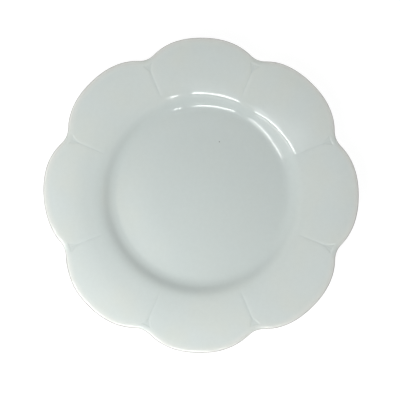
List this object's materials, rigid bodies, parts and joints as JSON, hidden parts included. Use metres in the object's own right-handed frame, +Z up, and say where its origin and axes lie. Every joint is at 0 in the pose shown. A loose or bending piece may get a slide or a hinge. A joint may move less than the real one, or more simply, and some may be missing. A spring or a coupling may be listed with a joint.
{
  "type": "scalloped dessert plate",
  "caption": "Shallow round dessert plate with a flat well, a coved wall, a wide petal-shaped rim with fine radial grooves, a rounded scalloped lip and a bare foot ring.",
  "frame": {"origin": "on the table, in the plane of the foot ring's standing face, under the middle of the well", "axes": "+Z up along the plate's axis, +X through the tip of one petal"},
  "size_m": [0.21, 0.21, 0.0195],
  "materials": {
    "biscuit": "matt bare porcelain, fine grained",
    "glaze": "clear gloss glaze with a faint grey-green cast"
  },
  "bodies": {
    "root": {"plate_body": "biscuit", "foot_ring": "biscuit", "face_glaze": "glaze", "under_glaze": "glaze", "base_glaze": "glaze"}
  },
  "joints": []
}
